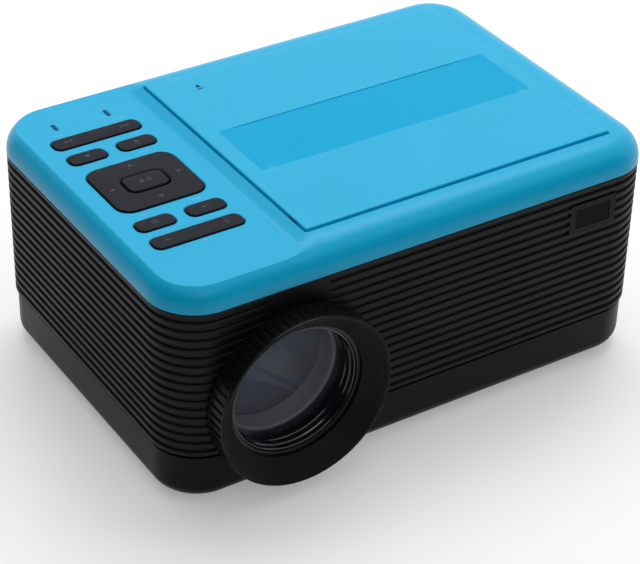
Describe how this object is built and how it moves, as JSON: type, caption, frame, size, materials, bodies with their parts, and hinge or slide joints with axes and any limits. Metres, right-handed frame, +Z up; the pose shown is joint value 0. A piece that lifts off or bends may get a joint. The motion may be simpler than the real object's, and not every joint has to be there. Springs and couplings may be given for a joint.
{
  "type": "projector with built in dvd player",
  "caption": "Compact box projector with a ribbed body, big focus ring, key pad and a lift-up lid over a disc well on top.",
  "frame": {"origin": "on the floor under the feet, below the middle of the whole object's box", "axes": "+X along the width away from the lens, +Y to the back, +Z up; the lens looks towards -Y"},
  "size_m": [0.24, 0.176, 0.111],
  "materials": {
    "blue_cover": "satin moulded ABS, fine texture",
    "blue_lid": "satin moulded ABS",
    "black_shell": "satin moulded ABS, ribbed",
    "black_base": "satin moulded ABS",
    "black_plate": "satin moulded ABS",
    "foot_rubber": "matt rubber",
    "zinc_steel": "zinc plated steel",
    "polished_steel": "bright steel",
    "brass": "turned brass",
    "smoke_window": "dark clear acrylic",
    "board_part": "component black",
    "black_moulding": "moulded plastic",
    "grey_moulding": "moulded plastic",
    "damper_rubber": "soft rubber",
    "green_board": "solder mask",
    "lens_glass": "coated glass",
    "panel_glass": "display glass",
    "aluminium": "extruded",
    "key_rubber": "soft satin key cap",
    "ring_black": "moulded, fine grooves",
    "barrel_black": "glossy black",
    "spacer_grey": "light grey moulding"
  },
  "bodies": {
    "root": {"upper_cover": "blue_cover", "body_shell": "black_shell", "base_tray": "black_base", "feet": "foot_rubber", "cover_screws": "zinc_steel", "tripod_insert": "brass", "lens_plate": "black_plate", "ir_plate": "black_plate", "ir_window": "smoke_window", "ir_receiver": "board_part", "lid_hinge_pins": "polished_steel", "lid_catch": "black_moulding", "well_deck": "black_moulding", "mech_chassis": "zinc_steel", "dampers": "damper_rubber", "guide_rails": "polished_steel", "spindle_motor": "zinc_steel", "feed_motor": "zinc_steel", "key_board": "green_board", "light_pipes": "smoke_window", "lens_tube": "black_moulding", "engine_housing": "black_moulding", "field_lens": "lens_glass", "lcd_panel": "panel_glass", "collimating_lens": "lens_glass", "condenser_lens": "lens_glass", "light_board": "board_part", "heat_sink": "aluminium", "fan_frame": "black_moulding", "exhaust_grille": "black_plate", "main_board": "green_board", "board_spacers": "brass", "disc_board": "green_board", "speakers": "black_moulding", "socket_panel": "black_plate", "headphone_jack": "black_moulding", "av_jack": "black_moulding", "usb_jack": "polished_steel", "hdmi_jack": "polished_steel", "dc_jack": "black_moulding"},
    "lid": {"disc_lid": "blue_lid", "lid_hook": "black_moulding"},
    "turntable": {"turntable": "grey_moulding"},
    "pickup": {"pickup": "grey_moulding"},
    "feed_screw": {"feed_screw": "polished_steel"},
    "upper_rocker": {"upper_rocker": "key_rubber"},
    "lower_rocker": {"lower_rocker": "key_rubber"},
    "rear_left_key": {"rear_left_key": "key_rubber"},
    "rear_right_key": {"rear_right_key": "key_rubber"},
    "front_left_key": {"front_left_key": "key_rubber"},
    "front_right_key": {"front_right_key": "key_rubber"},
    "nav_carrier": {"nav_carrier": "black_moulding"},
    "nav_pad": {"nav_pad": "key_rubber"},
    "center_key": {"center_key": "key_rubber"},
    "focus_ring": {"focus_ring": "ring_black"},
    "lens_barrel": {"lens_barrel": "barrel_black", "front_lens": "lens_glass", "spacer_ring": "spacer_grey", "rear_lens": "lens_glass"},
    "fan_rotor": {"fan_rotor": "black_moulding"}
  },
  "joints": [
    {"name": "lid_hinge", "type": "hinge", "parent": "root", "child": "lid", "pos_m": [0.02575, -0.051, 0.1078], "axis": [1, 0, 0], "range_deg": [0, 90]},
    {"name": "turntable_spin", "type": "hinge", "parent": "root", "child": "turntable", "pos_m": [0.02575, 0.0095, 0.09], "axis": [0, 0, 1], "continuous": true},
    {"name": "pickup_slide", "type": "slide", "parent": "root", "child": "pickup", "axis": [-1, 0, 0], "range_m": [0, 0.034]},
    {"name": "feed_screw_spin", "type": "hinge", "parent": "root", "child": "feed_screw", "pos_m": [0, -0.0125, 0.0842], "axis": [1, 0, 0], "range_deg": [0, 4100]},
    {"name": "upper_rocker_tilt", "type": "hinge", "parent": "root", "child": "upper_rocker", "pos_m": [-0.0864, 0.0514, 0.1037], "axis": [0, 1, 0], "range_deg": [-1.2, 1.2], "stiffness_Nm_per_rad": 0.4},
    {"name": "lower_rocker_tilt", "type": "hinge", "parent": "root", "child": "lower_rocker", "pos_m": [-0.0864, -0.0361, 0.1037], "axis": [0, 1, 0], "range_deg": [-1.2, 1.2], "stiffness_Nm_per_rad": 0.4},
    {"name": "nav_fore_aft_tilt", "type": "hinge", "parent": "root", "child": "nav_carrier", "pos_m": [-0.0864, 0.0075, 0.1008], "axis": [1, 0, 0], "range_deg": [-2, 2], "stiffness_Nm_per_rad": 0.4},
    {"name": "nav_left_right_tilt", "type": "hinge", "parent": "nav_carrier", "child": "nav_pad", "pos_m": [-0.0864, 0.0075, 0.1008], "axis": [0, 1, 0], "range_deg": [-2, 2], "stiffness_Nm_per_rad": 0.4},
    {"name": "center_key_press", "type": "slide", "parent": "root", "child": "center_key", "axis": [0, 0, -1], "range_m": [0, 0.0006], "stiffness_N_per_m": 300},
    {"name": "focus_turn", "type": "hinge", "parent": "root", "child": "focus_ring", "pos_m": [-0.0653, -0.082, 0.0473], "axis": [0, 1, 0], "range_deg": [-60, 60]},
    {"name": "barrel_slide", "type": "slide", "parent": "root", "child": "lens_barrel", "axis": [0, 1, 0], "range_m": [-0.0025, 0.0025]},
    {"name": "fan_spin", "type": "hinge", "parent": "root", "child": "fan_rotor", "pos_m": [-0.0653, 0.08, 0.0473], "axis": [0, 1, 0], "continuous": true},
    {"name": "rear_left_key_press", "type": "slide", "parent": "root", "child": "rear_left_key", "axis": [0, 0, -1], "range_m": [0, 0.0006], "stiffness_N_per_m": 300},
    {"name": "rear_right_key_press", "type": "slide", "parent": "root", "child": "rear_right_key", "axis": [0, 0, -1], "range_m": [0, 0.0006], "stiffness_N_per_m": 300},
    {"name": "front_left_key_press", "type": "slide", "parent": "root", "child": "front_left_key", "axis": [0, 0, -1], "range_m": [0, 0.0006], "stiffness_N_per_m": 300},
    {"name": "front_right_key_press", "type": "slide", "parent": "root", "child": "front_right_key", "axis": [0, 0, -1], "range_m": [0, 0.0006], "stiffness_N_per_m": 300}
  ],
  "couplings": [
    {"joint": "barrel_slide", "follows": "focus_turn", "m_per_rad": 0.002387},
    {"joint": "feed_screw_spin", "follows": "pickup_slide", "rad_per_m": 2094.4}
  ]
}
